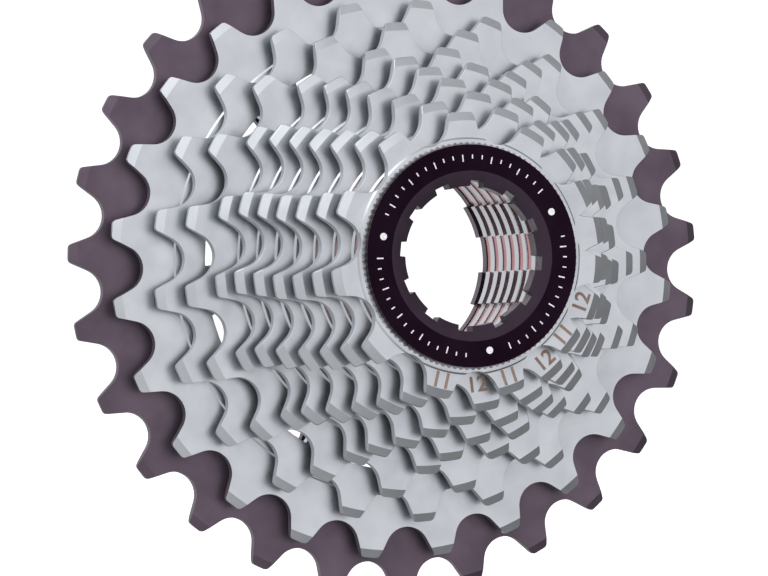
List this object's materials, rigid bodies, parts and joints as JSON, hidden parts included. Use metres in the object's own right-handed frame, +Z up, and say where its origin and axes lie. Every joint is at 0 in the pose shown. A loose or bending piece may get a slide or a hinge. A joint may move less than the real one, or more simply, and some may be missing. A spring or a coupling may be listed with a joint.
{
  "type": "cassette sprocket",
  "caption": "Stepped cone of splined bicycle sprockets with spacer rings between them, held by a lock washer and a threaded lockring.",
  "frame": {"origin": "centre of the splined bore in the rear face of the largest sprocket, where the cassette seats on the freehub's shoulder", "axes": "+Y along the bore axis towards the wheel, so the lockring faces -Y; +Z up; +X to the right seen from the lockring's side"},
  "size_m": [0.1124, 0.0411, 0.1125],
  "materials": {
    "nickel_steel": "satin nickel-plated stamped steel",
    "dark_anodised_plate": "dark grey hard anodised",
    "red_anodised_spacer": "red anodised, turned",
    "washer_steel": "zinc-plated, serrated edge",
    "black_lockring": "black anodised, laser-marked"
  },
  "bodies": {
    "sprocket_27t": {"sprocket_27t": "dark_anodised_plate"},
    "spacer_24_27": {"spacer_24_27": "red_anodised_spacer"},
    "sprocket_24t": {"sprocket_24t": "nickel_steel"},
    "spacer_21_24": {"spacer_21_24": "red_anodised_spacer"},
    "sprocket_21t": {"sprocket_21t": "nickel_steel"},
    "spacer_19_21": {"spacer_19_21": "red_anodised_spacer"},
    "sprocket_19t": {"sprocket_19t": "nickel_steel"},
    "spacer_17_19": {"spacer_17_19": "red_anodised_spacer"},
    "sprocket_17t": {"sprocket_17t": "nickel_steel"},
    "spacer_16_17": {"spacer_16_17": "red_anodised_spacer"},
    "sprocket_16t": {"sprocket_16t": "nickel_steel"},
    "spacer_15_16": {"spacer_15_16": "red_anodised_spacer"},
    "sprocket_15t": {"sprocket_15t": "nickel_steel"},
    "spacer_14_15": {"spacer_14_15": "red_anodised_spacer"},
    "sprocket_14t": {"sprocket_14t": "nickel_steel"},
    "spacer_13_14": {"spacer_13_14": "red_anodised_spacer"},
    "sprocket_13t": {"sprocket_13t": "nickel_steel"},
    "spacer_12_13": {"spacer_12_13": "red_anodised_spacer"},
    "sprocket_12t": {"sprocket_12t": "nickel_steel"},
    "spacer_11_12": {"spacer_11_12": "red_anodised_spacer"},
    "sprocket_11t": {"sprocket_11t": "nickel_steel"},
    "serrated_washer": {"serrated_washer": "washer_steel"},
    "lockring": {"lockring": "black_lockring"}
  },
  "joints": [
    {"name": "spacer_24_27_slide", "type": "slide", "parent": "sprocket_27t", "child": "spacer_24_27", "axis": [0, -1, 0], "range_m": [0, 0.0371]},
    {"name": "sprocket_24t_slide", "type": "slide", "parent": "spacer_24_27", "child": "sprocket_24t", "axis": [0, -1, 0], "range_m": [0, 0.0352]},
    {"name": "spacer_21_24_slide", "type": "slide", "parent": "sprocket_24t", "child": "spacer_21_24", "axis": [0, -1, 0], "range_m": [0, 0.0333]},
    {"name": "sprocket_21t_slide", "type": "slide", "parent": "spacer_21_24", "child": "sprocket_21t", "axis": [0, -1, 0], "range_m": [0, 0.0314]},
    {"name": "spacer_19_21_slide", "type": "slide", "parent": "sprocket_21t", "child": "spacer_19_21", "axis": [0, -1, 0], "range_m": [0, 0.0295]},
    {"name": "sprocket_19t_slide", "type": "slide", "parent": "spacer_19_21", "child": "sprocket_19t", "axis": [0, -1, 0], "range_m": [0, 0.0276]},
    {"name": "spacer_17_19_slide", "type": "slide", "parent": "sprocket_19t", "child": "spacer_17_19", "axis": [0, -1, 0], "range_m": [0, 0.0257]},
    {"name": "sprocket_17t_slide", "type": "slide", "parent": "spacer_17_19", "child": "sprocket_17t", "axis": [0, -1, 0], "range_m": [0, 0.0238]},
    {"name": "spacer_16_17_slide", "type": "slide", "parent": "sprocket_17t", "child": "spacer_16_17", "axis": [0, -1, 0], "range_m": [0, 0.0219]},
    {"name": "sprocket_16t_slide", "type": "slide", "parent": "spacer_16_17", "child": "sprocket_16t", "axis": [0, -1, 0], "range_m": [0, 0.02]},
    {"name": "spacer_15_16_slide", "type": "slide", "parent": "sprocket_16t", "child": "spacer_15_16", "axis": [0, -1, 0], "range_m": [0, 0.0181]},
    {"name": "sprocket_15t_slide", "type": "slide", "parent": "spacer_15_16", "child": "sprocket_15t", "axis": [0, -1, 0], "range_m": [0, 0.0162]},
    {"name": "spacer_14_15_slide", "type": "slide", "parent": "sprocket_15t", "child": "spacer_14_15", "axis": [0, -1, 0], "range_m": [0, 0.0143]},
    {"name": "sprocket_14t_slide", "type": "slide", "parent": "spacer_14_15", "child": "sprocket_14t", "axis": [0, -1, 0], "range_m": [0, 0.0124]},
    {"name": "spacer_13_14_slide", "type": "slide", "parent": "sprocket_14t", "child": "spacer_13_14", "axis": [0, -1, 0], "range_m": [0, 0.0105]},
    {"name": "sprocket_13t_slide", "type": "slide", "parent": "spacer_13_14", "child": "sprocket_13t", "axis": [0, -1, 0], "range_m": [0, 0.0086]},
    {"name": "spacer_12_13_slide", "type": "slide", "parent": "sprocket_13t", "child": "spacer_12_13", "axis": [0, -1, 0], "range_m": [0, 0.0067]},
    {"name": "sprocket_12t_slide", "type": "slide", "parent": "spacer_12_13", "child": "sprocket_12t", "axis": [0, -1, 0], "range_m": [0, 0.0048]},
    {"name": "spacer_11_12_slide", "type": "slide", "parent": "sprocket_12t", "child": "spacer_11_12", "axis": [0, -1, 0], "range_m": [0, 0.0029]},
    {"name": "sprocket_11t_slide", "type": "slide", "parent": "spacer_11_12", "child": "sprocket_11t", "axis": [0, -1, 0], "range_m": [0, 0.001]},
    {"name": "lockring_lift", "type": "slide", "parent": "sprocket_11t", "child": "serrated_washer", "axis": [0, -1, 0], "range_m": [0, 0.0051]},
    {"name": "lockring_turn", "type": "hinge", "parent": "serrated_washer", "child": "lockring", "pos_m": [0, -0.0411, 0], "axis": [0, -1, 0], "range_deg": [0, 1800]}
  ],
  "couplings": [
    {"joint": "lockring_lift", "follows": "lockring_turn", "m_per_rad": 0.00015915}
  ]
}
